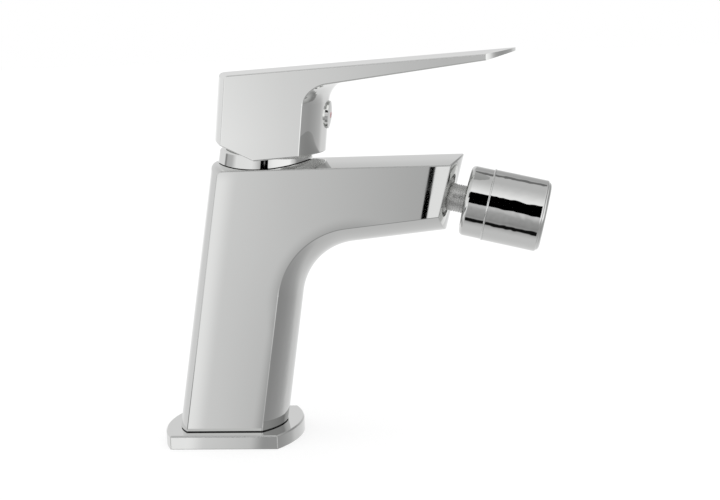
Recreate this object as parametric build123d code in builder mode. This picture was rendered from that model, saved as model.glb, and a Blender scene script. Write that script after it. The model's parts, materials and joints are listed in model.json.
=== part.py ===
"""Single-lever bidet mixer with a swivelling aerator, in millimetres.

+X points along the spout, +Z up. The origin is the centre of the base plate's underside.
The body, cartridge, handle and outlet each have their own plane, and every piece is
drawn in the plane of what carries it.
"""

import os
from math import cos, radians, sin, sqrt, tan

from build123d import *

os.makedirs("parts", exist_ok=True)

# Base plate, the oblong foot under the column
plate_flat = 42.4
plate_width = 50.2
plate_bow = 6.0
plate_thickness = 5.4
plate_edge = 0.5
seal_groove_inset = 3.2
seal_groove_depth = 1.6
plate_rim_height = 1.6
plate_rim_wall = 1.2
plate_rim_clearance = 0.2

# Thin gasket between base plate and body
body_gasket_thickness = 0.4
body_gasket_inset = 0.5

# Body casting: flat sides, bowed back, front, end and top
body_width = 38.2
foot_rear = 15.9
foot_front = 14.2
rear_lean = 9.7
front_lean = 9.3
body_top_height = 107.9
spout_reach = 91.2
end_tilt = 15.0
spout_end_height = 19.7
spout_rise = 5.9
inner_radius = 31.0
rear_bow = 5.7
front_bow = 6.8
end_bow = 3.0
top_crown = 2.5
body_crease = 0.5
heel_round = 2.4
body_wall = 3.2
column_cavity_depth = 34.0

# Water inlets and fixing stud under the body
inlet_core_radius = 4.6
inlet_depth = 11.0
inlet_spacing = 18.0
inlet_forward = 2.5
inlet_boss_radius = 7.4
stud_core_radius = 3.4
stud_depth = 14.0
stud_back = 8.0
stud_boss_radius = 5.8
boss_drop = 24.0
supply_radius = 2.8
spout_channel_radius = 3.4

# Cartridge axis: where it leaves the top of the body, and its lean towards the spout
cartridge_centre = 16.85
cartridge_lean = 6.5

# Cartridge, measured along its axis from the top of the body down
chamber_clearance = 0.15
housing_radius = 14.0
housing_wall = 1.3
housing_top = 1.3
shoulder_depth = 7.6
neck_radius = 11.2
neck_bore_radius = 9.35
neck_height = 6.6
port_radius = 2.3
port_back = 3.2
port_side = 5.5
port_forward = 5.8
port_drop = 9.5
port_seal_section = 1.6
base_gap = 0.3
base_thickness = 3.0
base_spigot_height = 1.0
spigot_clearance = 0.1
lug_radius = 1.4
lug_length = 1.8
lug_offset = 11.4
lug_clearance = 0.2
disc_thickness = 3.0
fixed_disc_radius = 12.2
moving_disc_radius = 10.2
mixing_pocket_depth = 1.4
mixing_pocket_length = 13.0
mixing_pocket_width = 3.0
mixing_pocket_land = 0.1
mixing_channel_width = 4.0
carrier_radius = 9.4
carrier_thickness = 2.4
carrier_half_width = 7.4
carrier_slot_depth = 1.6
turret_flange_radius = 12.4
turret_flange = 2.4
turret_running = 0.15
turret_head_gap = 0.2
turret_gap = 0.3
turret_rail_drop = 1.9
turret_rail_clearance = 0.15
turret_height = 3.4
pivot_rise = 3.1
pin_radius = 1.5
pin_half_length = 8.6
pin_clearance = 0.03
turret_seal_section = 1.3
turret_seal_rise = 1.4
seal_running = 0.03

# Stem: a square spindle that tilts about the pin
stem_tilt = 12.5
stem_square = 8.0
stem_waist = 6.0
stem_shoulder_gap = 1.1
stem_arm_width = 5.4
stem_arm_thickness = 4.6
stem_arm_start = 3.0
stem_arm_end_gap = 0.3
stem_roof_gap = 5.8
stem_side_clearance = 0.2
stem_slot_clearance = 0.3

# Clamp nut that holds the cartridge down
nut_radius = 17.0
nut_thread_clearance = 0.05
nut_bore_radius = 11.6
nut_collar_start = 1.2
nut_collar_radius = 15.0
nut_collar_height = 4.0
nut_notch_width = 4.0
nut_notch_depth = 1.8
nut_notches = 6

# Dome cover over the nut
cover_base_radius = 18.8
cover_shoulder_radius = 18.2
cover_foot_depth = 3.0
cover_shoulder_height = 5.6
cover_height = 9.4
cover_mouth_radius = 10.2
cover_mouth_wall = 1.2
cover_inner_radius = 15.15
cover_inner_height = 6.4
cover_rim_radius = 17.3
cover_round = 1.6
cover_body_gap = 0.25
cover_ring_section = 1.3
cover_ring_height = 2.0

# Handle: a hollow block over the cover that runs out into a flat lever
handle_cover_gap = 0.55
handle_side_wall = 1.25
handle_corner_wall = 1.4
handle_bow_thinning = 1.0
handle_rear = 14.6
handle_front = 15.8
handle_rear_bow = 5.5
handle_front_bow = 7.4
handle_knee_reach = 15.9
handle_knee_height = 3.55
heel_cut_angle = 26.3
sole_rise = 3.7
handle_height = 36.05
lever_slope = 2.8
lever_taper = 3.8
lever_reach = 105.4
lever_tip_thickness = 2.45
lever_tip_bow = 10.5
lever_tip_lift = 15.5
lever_fillet = 8.5
handle_crown = 1.1
handle_crease = 0.5
handle_heel_round = 1.5
handle_roof = 4.5
boss_radius = 8.0
boss_start = 17.0
boss_clearance = 0.05

# Screw that clamps the handle on the stem, and the index plug over it
screw_height_share = 0.616
screw_radius = 2.5
screw_plug_gap = 0.7
screw_tip_radius = 0.9
screw_tip_clearance = 0.25
screw_thread_clearance = 0.05
screw_boss_radius = 4.6
screw_hex = 2.5
screw_hex_depth = 2.6
index_radius = 5.4
index_seat = 1.4
index_dome = 1.5
index_rim = 0.8
index_stem_radius = 3.2
index_stem_length = 2.2
index_clearance = 0.08
mark_radius = 1.2
mark_spacing = 3.0
mark_depth = 0.4

# Outlet axis: ball nipple, swivel joint and aerator, measured from the ball's centre
outlet_tilt = 13.6
ball_centre_beyond = 11.6
ball_centre_drop = 17.15
ball_radius = 10.0
nipple_radius = 5.4
nipple_visible = 4.9
nipple_bore_radius = 3.25
nipple_shank_radius = 5.0
nipple_shank_length = 9.0
nipple_ring_groove = 0.3
nipple_ring_pitch = 0.9
nipple_rings = 4
nipple_thread_clearance = 0.05
nipple_face_clearance = 0.15
nipple_seal_section = 1.0
nipple_seal_back = 1.6
ball_end = 6.5
swivel_face = 8.0
swivel_ring_end = 1.3
swivel_radius = 13.7
swivel_opening_radius = 8.7
swivel_spigot_radius = 12.6
swivel_spigot_end = 8.0
swivel_edge = 1.8
seat_running = 0.05
seat_start_angle = 52.0
seat_end_angle = 74.0
cup_radius = 11.2
cup_start = 0.25
cup_middle_angle = 115.0
cup_end = 7.9
cup_seal_section = 1.4
cup_seal_height = 4.5
cup_running = 0.1
shell_radius = 13.95
shell_start = 1.6
shell_end = 22.5
shell_thread_clearance = 0.05
shell_barrel_radius = 11.6
shell_lip_radius = 10.5
shell_lip_length = 1.3
shell_edge = 0.8
gasket_thickness = 1.5
gasket_inner_radius = 8.6
insert_flange_radius = 12.4
insert_flange_thickness = 1.5
insert_radius = 11.4
insert_wall = 1.3
insert_grid_thickness = 3.0
grid_hole_radius = 1.0
grid_pitch = 2.7
grid_rings = 3
screen_dome = 1.6
screen_thickness = 0.4
screen_radius = 10.6
screen_rim = 1.2
screen_clearance = 0.1
screen_hole_radius = 0.9
screen_pitch = 2.9
screen_rings = 2

overrun = 1.0


def bowed_outline(rear, front, half_width, rear_sagitta, front_sagitta):
    """Closed outline with two straight sides and a bowed end at each side of X."""
    Line((-rear, -half_width), (front, -half_width))
    ThreePointArc((front, -half_width), (front + front_sagitta, 0), (front, half_width))
    Line((front, half_width), (-rear, half_width))
    ThreePointArc((-rear, half_width), (-rear - rear_sagitta, 0), (-rear, -half_width))


def axis_plane(x, z, lean):
    """Plane whose normal leans from +Z towards +X by lean degrees, at (x, 0, z)."""
    return Plane(
        origin=(x, 0, z),
        x_dir=(cos(radians(lean)), 0, -sin(radians(lean))),
        z_dir=(sin(radians(lean)), 0, cos(radians(lean))),
    )


def side_plane(base):
    """Plane through base's axis, whose X is base's X and whose Y is base's normal."""
    return Plane(origin=base.origin, x_dir=base.x_dir, z_dir=-base.y_dir)


def seal_ring(side, radius, height, section):
    """Round-section ring about the Y axis of the side plane."""
    with BuildSketch(side) as round_section:
        with Locations((radius, height)):
            Circle(section / 2)
    revolve(round_section.sketch, axis=Axis(side.origin, side.y_dir))


def turned(side, *points, mode=Mode.ADD):
    """Turns a closed outline of (radius, height) points about the side plane's Y axis."""
    with BuildSketch(side) as section:
        with BuildLine():
            Polyline(*points, close=True)
        make_face()
    revolve(section.sketch, axis=Axis(side.origin, side.y_dir), mode=mode)


def export(piece, name):
    """Labels a finished piece and writes it as one STEP file."""
    piece.label = name
    export_step(piece, f"parts/{name}.step")


# Levels of the cartridge, from the housing's roof down to the floor of its chamber
housing_roof = -shoulder_depth - housing_top
flange_top = housing_roof - turret_head_gap
flange_bottom = flange_top - turret_flange
carrier_top = flange_bottom - turret_gap
moving_top = carrier_top - carrier_thickness
fixed_top = moving_top - disc_thickness
spigot_top = fixed_top - disc_thickness
base_top = spigot_top - base_spigot_height
base_bottom = base_top - base_thickness
floor = base_bottom - base_gap
turret_seal_level = housing_roof + turret_seal_rise
pivot_depth = shoulder_depth - pivot_rise
stem_arm_length = carrier_slot_depth - carrier_top - pivot_depth - stem_arm_end_gap
stem_shoulder = pivot_depth + turret_height + stem_shoulder_gap

# Planes shared by the pieces
body_bottom = plate_thickness + body_gasket_thickness
handle_top_height = body_top_height + handle_height
handle_half_width = cover_shoulder_radius + handle_cover_gap + handle_side_wall
screw_height = screw_height_share * handle_height
ball_centre_reach = spout_reach + ball_centre_beyond
ball_centre_height = body_top_height - ball_centre_drop
cartridge_plane = axis_plane(cartridge_centre, body_top_height, cartridge_lean)
cartridge_side = side_plane(cartridge_plane)
cartridge_axis = Axis(cartridge_plane.origin, cartridge_plane.z_dir)
outlet_plane = axis_plane(ball_centre_reach, ball_centre_height, 90.0 + outlet_tilt)
outlet_side = side_plane(outlet_plane)

# Base plate with its central hole, a rim that centres the column, and a groove for the seal
half_body = body_width / 2
plate_rear = plate_flat / 2
column_half_reach = min(half_body, foot_front + front_bow, foot_rear + rear_bow)
plate_rim_radius = column_half_reach - body_wall - plate_rim_clearance
plate_hole_radius = plate_rim_radius - plate_rim_wall

with BuildPart() as base_plate:
    with BuildSketch():
        with BuildLine():
            bowed_outline(plate_rear, plate_rear, plate_width / 2, plate_bow, plate_bow)
        make_face()
    extrude(amount=plate_thickness)
    chamfer(base_plate.faces().sort_by(Axis.Z)[-1].edges(), plate_edge)
    with BuildSketch():
        Circle(plate_rim_radius)
    extrude(amount=plate_thickness + plate_rim_height)
    with BuildSketch():
        Circle(plate_hole_radius)
    extrude(amount=plate_thickness + plate_rim_height, mode=Mode.SUBTRACT)
    with BuildSketch() as groove:
        with BuildLine():
            bowed_outline(plate_rear, plate_rear, plate_width / 2, plate_bow, plate_bow)
        make_face()
        offset(amount=-seal_groove_inset)
        Circle(plate_rim_radius, mode=Mode.SUBTRACT)
    extrude(amount=seal_groove_depth, mode=Mode.SUBTRACT)
export(base_plate.part, "base_plate")

# Sealing ring under the plate, flush with the underside
with BuildPart() as base_seal:
    with BuildSketch():
        with BuildLine():
            bowed_outline(plate_rear, plate_rear, plate_width / 2, plate_bow, plate_bow)
        make_face()
        offset(amount=-seal_groove_inset)
        Circle(plate_rim_radius, mode=Mode.SUBTRACT)
    extrude(amount=seal_groove_depth)
export(base_seal.part, "base_seal")

# Thin gasket that shows as a dark line between plate and body
with BuildPart() as body_gasket:
    with BuildSketch(Plane.XY.offset(plate_thickness)):
        with BuildLine():
            bowed_outline(foot_rear, foot_front, half_body, rear_bow, front_bow)
        make_face()
        offset(amount=-body_gasket_inset)
        Circle(plate_rim_radius, mode=Mode.SUBTRACT)
    extrude(amount=body_gasket_thickness)
export(body_gasket.part, "body_gasket")

# Body casting. The crease line of its front and underside is one line, arc and line
end_low = (
    spout_reach - spout_end_height * tan(radians(end_tilt)),
    body_top_height - spout_end_height,
)
tool_depth = front_bow + 3 * overrun
form_margin = front_bow + overrun


def crease_points(offset_by):
    """Foot, corner and end of the front and underside line, moved outwards by offset_by."""
    a, b = radians(front_lean), radians(spout_rise)
    foot = (
        foot_front - overrun * sin(a) + offset_by * cos(a),
        body_bottom - overrun * cos(a) - offset_by * sin(a),
    )
    end = (
        end_low[0] + tool_depth + offset_by * sin(b),
        end_low[1] + tool_depth * tan(b) - offset_by * cos(b),
    )
    slope_a, slope_b = tan(a), tan(b)
    x = (foot[0] + slope_a * (end[1] - end[0] * slope_b - foot[1])) / (1 - slope_a * slope_b)
    return foot, (x, end[1] + (x - end[0]) * slope_b), end


with BuildLine(Plane.XZ) as crease_line:
    FilletPolyline(*crease_points(0.0), radius=inner_radius)

body_back = -foot_rear - rear_bow - overrun
form_top = body_top_height + top_crown + overrun
form_end = spout_reach + tool_depth
cavity_roof = body_bottom + column_cavity_depth
inlet_top = cavity_roof - boss_drop + inlet_depth - overrun
nipple_shoulder = -(nipple_visible + swivel_face)
shank_end = nipple_shoulder - nipple_shank_length

with BuildPart() as body_casting:
    with BuildSketch(Plane.XZ):
        with BuildLine():
            margin_foot, margin_corner, margin_end = crease_points(form_margin)
            lower = FilletPolyline(
                margin_foot, margin_corner, margin_end, radius=inner_radius - form_margin
            )
            Polyline(
                margin_end,
                (margin_end[0], form_top),
                (body_back, form_top),
                (body_back, margin_foot[1]),
                margin_foot,
            )
        make_face()
    extrude(amount=half_body, both=True)
    # Crowned top
    with BuildSketch(Plane.YZ.offset(body_back)):
        with BuildLine():
            Line((-half_body, 0), (-half_body, body_top_height))
            ThreePointArc(
                (-half_body, body_top_height),
                (0, body_top_height + top_crown),
                (half_body, body_top_height),
            )
            Polyline((half_body, body_top_height), (half_body, 0), (-half_body, 0))
        make_face()
    extrude(amount=form_end - body_back, mode=Mode.INTERSECT)
    # Bowed back
    with BuildSketch(axis_plane(-foot_rear, body_bottom, rear_lean)):
        with BuildLine():
            bowed_outline(0, 2 * spout_reach, half_body, rear_bow, rear_bow)
        make_face()
    extrude(amount=2 * spout_reach, both=True, mode=Mode.INTERSECT)
    # Bowed end of the spout
    with BuildSketch(axis_plane(spout_reach, body_top_height, end_tilt)):
        with BuildLine():
            bowed_outline(2 * spout_reach, 0, half_body, end_bow, end_bow)
        make_face()
    extrude(amount=2 * spout_reach, both=True, mode=Mode.INTERSECT)
    # Bowed front and underside, cut by a hollow section that follows the crease line
    tool_foot = crease_points(0.0)[0]
    with BuildSketch(axis_plane(tool_foot[0], tool_foot[1], front_lean)) as bow_tool:
        with BuildLine():
            ThreePointArc((0, -half_body), (front_bow, 0), (0, half_body))
            Polyline(
                (0, half_body),
                (0, half_body + overrun),
                (tool_depth, half_body + overrun),
                (tool_depth, -half_body - overrun),
                (0, -half_body - overrun),
                (0, -half_body),
            )
        make_face()
    sweep(path=crease_line.wires()[0], mode=Mode.SUBTRACT)
    # Level foot
    split(bisect_by=Plane.XY.offset(body_bottom), keep=Keep.TOP)
    # Rounded heel at the top of the back, and softened creases
    heel = body_casting.edges().filter_by(lambda e: e.center().Z > body_top_height)
    heel = heel.sort_by(Axis.X)[0]
    fillet(heel, heel_round)
    creases = body_casting.edges().filter_by(
        lambda e: abs(abs(e.center().Y) - half_body) < body_crease / 10
        and e.center().Z > body_bottom + body_crease
    )
    end_rims = body_casting.edges().filter_by(
        lambda e: e.center().X > end_low[0] and abs(e.center().Y) < body_crease
    )
    fillet(creases + end_rims, body_crease)
    # Cavity of the column, open at the foot
    with BuildSketch(Plane.XY.offset(body_bottom)):
        with BuildLine():
            bowed_outline(foot_rear, foot_front, half_body, rear_bow, front_bow)
        make_face()
        offset(amount=-body_wall)
    extrude(
        amount=column_cavity_depth,
        dir=(tan(radians(front_lean)), 0, 1),
        mode=Mode.SUBTRACT,
    )
    # Bosses for the hose inlets and the fixing stud
    with BuildSketch(Plane.XY.offset(cavity_roof - boss_drop)):
        with Locations((inlet_forward, -inlet_spacing / 2), (inlet_forward, inlet_spacing / 2)):
            Circle(inlet_boss_radius)
        with Locations((-stud_back, 0)):
            Circle(stud_boss_radius)
        with Locations(((inlet_forward - stud_back) / 2, 0)):
            Rectangle(inlet_forward + stud_back, stud_boss_radius)
    extrude(amount=boss_drop + overrun)
    with BuildSketch(Plane.XY.offset(cavity_roof - boss_drop)):
        with Locations((inlet_forward, -inlet_spacing / 2), (inlet_forward, inlet_spacing / 2)):
            Circle(inlet_core_radius)
    extrude(amount=inlet_depth, mode=Mode.SUBTRACT)
    with BuildSketch(Plane.XY.offset(cavity_roof - boss_drop)):
        with Locations((-stud_back, 0)):
            Circle(stud_core_radius)
    extrude(amount=stud_depth, mode=Mode.SUBTRACT)
    # Chamber for the cartridge and the wider bore for the clamp nut
    with BuildSketch(cartridge_plane.offset(floor)):
        Circle(housing_radius + chamber_clearance)
    extrude(amount=2 * housing_radius - floor, mode=Mode.SUBTRACT)
    with BuildSketch(cartridge_plane.offset(-shoulder_depth)):
        Circle(nut_radius + nut_thread_clearance)
    extrude(amount=2 * housing_radius - floor, mode=Mode.SUBTRACT)
    # Ports and locating holes in the chamber's floor
    with BuildSketch(cartridge_plane.offset(floor)):
        with Locations((-port_back, -port_side), (-port_back, port_side)):
            Circle(port_radius)
    extrude(amount=-port_radius, mode=Mode.SUBTRACT)
    with BuildSketch(cartridge_plane.offset(floor)):
        with Locations((port_forward, 0)):
            Circle(port_radius)
    extrude(amount=-port_drop, mode=Mode.SUBTRACT)
    with BuildSketch(cartridge_plane.offset(floor)):
        with Locations((-lug_offset, 0), (lug_offset, 0)):
            Circle(lug_radius + lug_clearance)
    extrude(amount=-lug_length, mode=Mode.SUBTRACT)
    # Supply channels from the inlets to the ports
    for side in (-1, 1):
        start = Vector(inlet_forward, side * inlet_spacing / 2, inlet_top)
        end = cartridge_plane.from_local_coords(
            Vector(-port_back, side * port_side, floor - port_radius / 2)
        )
        with BuildSketch(Plane(origin=start, z_dir=end - start)):
            Circle(supply_radius)
        extrude(amount=(end - start).length, mode=Mode.SUBTRACT)
    # Channel from the mixed port to the hole for the nipple
    start = cartridge_plane.from_local_coords(
        Vector(port_forward, 0, floor - port_drop + port_radius)
    )
    end = outlet_plane.from_local_coords(Vector(0, 0, shank_end - overrun))
    with BuildSketch(Plane(origin=start, z_dir=end - start)):
        Circle(spout_channel_radius)
    extrude(amount=(end - start).length, mode=Mode.SUBTRACT)
    # Tapped hole and spot face for the nipple
    with BuildSketch(outlet_plane.offset(shank_end - 2 * overrun)):
        Circle(nipple_shank_radius + nipple_thread_clearance)
    extrude(amount=nipple_shank_length + 5 * overrun, mode=Mode.SUBTRACT)
    with BuildSketch(outlet_plane.offset(nipple_shoulder)):
        Circle(nipple_radius + nipple_face_clearance)
    extrude(amount=nipple_radius, mode=Mode.SUBTRACT)
export(body_casting.part, "body_casting")

# Cartridge, from the chamber's floor upwards
inner_radius_housing = housing_radius - housing_wall
stem_arm_round = stem_arm_thickness / 2
slide_start = -(stem_arm_length - stem_arm_round) * sin(radians(stem_tilt))
pocket_back = port_back + port_radius + mixing_pocket_land + mixing_pocket_width / 2
ports = [(-port_back, -port_side), (-port_back, port_side), (port_forward, 0)]

with BuildPart() as port_seals:
    for x, y in ports:
        seal_plane = Plane(
            origin=cartridge_plane.from_local_coords(Vector(x, y, floor)),
            x_dir=cartridge_side.x_dir,
            z_dir=cartridge_side.z_dir,
        )
        seal_ring(
            seal_plane, port_radius + port_seal_section / 2, port_seal_section / 2, port_seal_section
        )
export(port_seals.part, "port_seals")

with BuildPart() as cartridge_base:
    with BuildSketch(cartridge_plane.offset(base_bottom)):
        Circle(housing_radius)
    extrude(amount=base_thickness)
    with BuildSketch(cartridge_plane.offset(base_top)):
        Circle(inner_radius_housing - spigot_clearance)
    extrude(amount=base_spigot_height)
    with BuildSketch(cartridge_plane.offset(base_bottom)):
        with Locations(*ports):
            Circle(port_radius)
    extrude(amount=base_thickness + base_spigot_height, mode=Mode.SUBTRACT)
    with BuildSketch(cartridge_plane.offset(base_bottom)):
        with Locations(*ports):
            Circle(port_radius + port_seal_section)
    extrude(amount=port_seal_section - base_gap, mode=Mode.SUBTRACT)
    with BuildSketch(cartridge_plane.offset(base_bottom)):
        with Locations((-lug_offset, 0), (lug_offset, 0)):
            Circle(lug_radius)
    extrude(amount=-lug_length)
export(cartridge_base.part, "cartridge_base")

with BuildPart() as cartridge_housing:
    turned(
        cartridge_side,
        (inner_radius_housing, base_top),
        (housing_radius, base_top),
        (housing_radius, -shoulder_depth),
        (neck_radius, -shoulder_depth),
        (neck_radius, neck_height - shoulder_depth),
        (neck_bore_radius, neck_height - shoulder_depth),
        (neck_bore_radius, housing_roof),
        (inner_radius_housing, housing_roof),
    )
export(cartridge_housing.part, "cartridge_housing")

with BuildPart() as fixed_disc:
    with BuildSketch(cartridge_plane.offset(spigot_top)):
        Circle(fixed_disc_radius)
        with Locations(*ports):
            Circle(port_radius, mode=Mode.SUBTRACT)
    extrude(amount=disc_thickness)
export(fixed_disc.part, "fixed_disc")

# Moving disc and the carrier that pushes it. Its pocket lies behind the supply ports when
# the lever is down and slides over them as the lever lifts
with BuildPart() as moving_disc:
    with BuildSketch(cartridge_plane.offset(fixed_top)):
        with Locations((slide_start, 0)):
            Circle(moving_disc_radius)
    extrude(amount=disc_thickness)
    with BuildSketch(cartridge_plane.offset(fixed_top)):
        with Locations((-pocket_back, 0)):
            SlotOverall(mixing_pocket_length, mixing_pocket_width, rotation=90)
        with Locations(((port_forward - pocket_back) / 2, 0)):
            Rectangle(port_forward + pocket_back, mixing_channel_width)
    extrude(amount=mixing_pocket_depth, mode=Mode.SUBTRACT)
export(moving_disc.part, "moving_disc")

with BuildPart() as disc_carrier:
    with BuildSketch(cartridge_plane.offset(moving_top)):
        with Locations((slide_start, 0)):
            Circle(carrier_radius)
            Rectangle(2 * carrier_radius, 2 * carrier_half_width, mode=Mode.INTERSECT)
    extrude(amount=carrier_thickness)
    with BuildSketch(cartridge_plane.offset(carrier_top)):
        with Locations((slide_start, 0)):
            Rectangle(
                stem_arm_thickness + stem_side_clearance,
                stem_arm_width + 2 * stem_side_clearance,
            )
    extrude(amount=-carrier_slot_depth, mode=Mode.SUBTRACT)
export(disc_carrier.part, "disc_carrier")

# Turret: turns in the housing's neck, carries the pin and guides the carrier with two rails
turret_radius = neck_bore_radius - turret_running
slot_half_width = stem_waist / 2 + stem_side_clearance
tilt_slope = tan(radians(stem_tilt))
tilt_stretch = 1 / cos(radians(stem_tilt))


def slot_half_length(half_thickness, distance):
    """Half the room that the tilting stem needs at a distance from the pin."""
    return half_thickness * tilt_stretch + distance * tilt_slope + stem_slot_clearance


with BuildPart() as turret:
    with BuildSketch(cartridge_plane.offset(flange_bottom)):
        Circle(turret_flange_radius)
    extrude(amount=turret_flange)
    with BuildSketch(cartridge_plane.offset(flange_top)):
        Circle(turret_radius)
    extrude(amount=turret_height - flange_top)
    with BuildSketch(cartridge_plane.offset(flange_bottom)):
        Circle(turret_flange_radius)
        rail_gap = 2 * (carrier_half_width + turret_rail_clearance)
        Rectangle(2 * turret_flange_radius, rail_gap, mode=Mode.SUBTRACT)
        Rectangle(carrier_radius, 2 * turret_flange_radius, mode=Mode.INTERSECT)
    extrude(amount=-turret_rail_drop)
    # Tapered slot for the stem
    slot_low = flange_bottom - overrun
    slot_high = turret_height + overrun
    with BuildSketch(cartridge_side):
        low = slot_half_length(stem_arm_thickness / 2, -pivot_depth - slot_low)
        middle = slot_half_length(stem_waist / 2, 0)
        high = slot_half_length(stem_waist / 2, slot_high + pivot_depth)
        with BuildLine():
            Polyline(
                (-low, slot_low),
                (low, slot_low),
                (middle, -pivot_depth),
                (high, slot_high),
                (-high, slot_high),
                (-middle, -pivot_depth),
                close=True,
            )
        make_face()
    extrude(amount=slot_half_width, both=True, mode=Mode.SUBTRACT)
    with BuildSketch(cartridge_side):
        with Locations((0, -pivot_depth)):
            Circle(pin_radius)
    extrude(amount=pin_half_length, both=True, mode=Mode.SUBTRACT)
    with BuildSketch(cartridge_side) as seal_groove:
        with Locations((turret_radius - turret_seal_section / 2, turret_seal_level)):
            Rectangle(2 * turret_seal_section, turret_seal_section, align=(Align.MIN, Align.CENTER))
        with Locations((turret_radius - turret_seal_section, turret_seal_level)):
            Rectangle(turret_seal_section, turret_seal_section, align=(Align.MIN, Align.CENTER))
    revolve(axis=cartridge_axis, mode=Mode.SUBTRACT)
export(turret.part, "turret")

with BuildPart() as turret_seal:
    seal_ring(
        cartridge_side,
        neck_bore_radius - seal_running - turret_seal_section / 2,
        turret_seal_level,
        turret_seal_section,
    )
export(turret_seal.part, "turret_seal")

with BuildPart() as stem_pin:
    with BuildSketch(cartridge_side):
        with Locations((0, -pivot_depth)):
            Circle(pin_radius)
    extrude(amount=pin_half_length, both=True)
export(stem_pin.part, "stem_pin")

# Stem, drawn along its own line through the pin
pivot = cartridge_plane.from_local_coords(Vector(0, 0, -pivot_depth))
stem_plane = axis_plane(pivot.X, pivot.Z, cartridge_lean + stem_tilt)
stem_side = side_plane(stem_plane)
stem_lean = radians(cartridge_lean + stem_tilt)
stem_top = handle_top_height - handle_roof - stem_roof_gap
stem_length = (stem_top - pivot.Z) / cos(stem_lean)

with BuildPart() as stem:
    with BuildSketch(stem_side):
        with BuildLine():
            Polyline(
                (-stem_square / 2, stem_shoulder),
                (-stem_square / 2, stem_length),
                (stem_square / 2, stem_length),
                (stem_square / 2, stem_shoulder),
                close=True,
            )
        make_face()
    extrude(amount=stem_square / 2, both=True)
    with BuildSketch(stem_side):
        with Locations((0, (stem_shoulder - stem_arm_start) / 2)):
            Rectangle(stem_waist, stem_shoulder + stem_arm_start)
    extrude(amount=stem_waist / 2, both=True)
    with BuildSketch(stem_side):
        with Locations((0, stem_arm_round - stem_arm_length)):
            Circle(stem_arm_round)
        with Locations((0, (stem_arm_round - stem_arm_length) / 2)):
            Rectangle(stem_arm_thickness, stem_arm_length - stem_arm_round)
    extrude(amount=stem_arm_width / 2, both=True)
    with BuildSketch(stem_side):
        Circle(pin_radius + pin_clearance)
    extrude(amount=stem_waist, both=True, mode=Mode.SUBTRACT)
export(stem.part, "stem")

# Clamp nut with key notches in its collar and a groove for the cover's ring
ring_radius = cover_inner_radius - cover_ring_section / 2
with BuildPart() as clamp_nut:
    turned(
        cartridge_side,
        (nut_bore_radius, -shoulder_depth),
        (nut_radius, -shoulder_depth),
        (nut_radius, -nut_collar_start),
        (nut_collar_radius, -nut_collar_start),
        (nut_collar_radius, nut_collar_height),
        (nut_bore_radius, nut_collar_height),
    )
    with BuildSketch(cartridge_side):
        with Locations((ring_radius - cover_ring_section / 2, cover_ring_height)):
            Rectangle(
                2 * cover_ring_section, cover_ring_section, align=(Align.MIN, Align.CENTER)
            )
    revolve(axis=cartridge_axis, mode=Mode.SUBTRACT)
    with BuildSketch(cartridge_plane.offset(nut_collar_height - nut_notch_depth)):
        with PolarLocations(nut_collar_radius, nut_notches):
            Rectangle(2 * nut_notch_width, nut_notch_width)
    extrude(amount=2 * nut_notch_depth, mode=Mode.SUBTRACT)
export(clamp_nut.part, "clamp_nut")

with BuildPart() as cover_ring:
    seal_ring(cartridge_side, ring_radius, cover_ring_height, cover_ring_section)
export(cover_ring.part, "cover_ring")

# Dome cover, trimmed so that its rim follows the crowned top of the body
with BuildPart() as dome_cover:
    turned(
        cartridge_side,
        (cover_rim_radius, -cover_foot_depth),
        (cover_base_radius, -cover_foot_depth),
        (cover_shoulder_radius, cover_shoulder_height),
        (cover_mouth_radius, cover_height),
        (cover_mouth_radius, cover_height - cover_mouth_wall),
        (cover_inner_radius, cover_inner_height),
        (cover_inner_radius, -nut_collar_start),
        (cover_rim_radius, -nut_collar_start),
    )
    shoulder = dome_cover.edges().filter_by(GeomType.CIRCLE).filter_by(
        lambda e: abs(e.radius - cover_shoulder_radius) < cover_round / 10
    )
    fillet(shoulder, cover_round)
    with BuildSketch(Plane.YZ.offset(body_back)):
        with BuildLine():
            trim_top = body_top_height + cover_body_gap
            Polyline(
                (-half_body - overrun, 0),
                (-half_body - overrun, trim_top),
                (-half_body, trim_top),
            )
            ThreePointArc((-half_body, trim_top), (0, trim_top + top_crown), (half_body, trim_top))
            Polyline(
                (half_body, trim_top),
                (half_body + overrun, trim_top),
                (half_body + overrun, 0),
                (-half_body - overrun, 0),
            )
        make_face()
    extrude(amount=form_end - body_back, mode=Mode.SUBTRACT)
export(dome_cover.part, "dome_cover")

# Handle: block over the cover, lever plank, crowned top, then the hollow underneath
lever_rise = tan(radians(lever_slope))
under_rise = tan(radians(lever_slope + lever_taper))
tip_under = handle_top_height + lever_reach * lever_rise - lever_tip_thickness
knee = (handle_knee_reach, body_top_height + handle_knee_height)
handle_back = cartridge_centre - 2 * handle_half_width
handle_end = lever_reach + lever_tip_bow + overrun
top_plane = Plane(
    origin=(0, 0, handle_top_height),
    x_dir=(0, 1, 0),
    z_dir=(cos(radians(lever_slope)), 0, sin(radians(lever_slope))),
)
index_plane = Plane(
    origin=cartridge_plane.from_local_coords(Vector(0, 0, screw_height)),
    x_dir=cartridge_plane.y_dir,
    z_dir=cartridge_plane.x_dir,
)
index_side = side_plane(index_plane)
stem_face = (screw_height + pivot_depth) * tilt_slope + stem_square / 2 * tilt_stretch
block_height = handle_top_height + handle_crown - body_top_height + 2 * lever_fillet

with BuildPart() as handle_cavity:
    with BuildSketch(cartridge_plane):
        with BuildLine():
            bowed_outline(
                handle_rear - handle_corner_wall,
                handle_front - handle_corner_wall,
                handle_half_width - handle_side_wall,
                handle_rear_bow - handle_bow_thinning,
                handle_front_bow - handle_bow_thinning,
            )
        make_face()
    extrude(amount=block_height)
    roof_plane = Plane(
        origin=(0, 0, handle_top_height - handle_roof),
        x_dir=(0, 1, 0),
        z_dir=top_plane.y_dir,
    )
    split(bisect_by=roof_plane, keep=Keep.BOTTOM)

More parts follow.
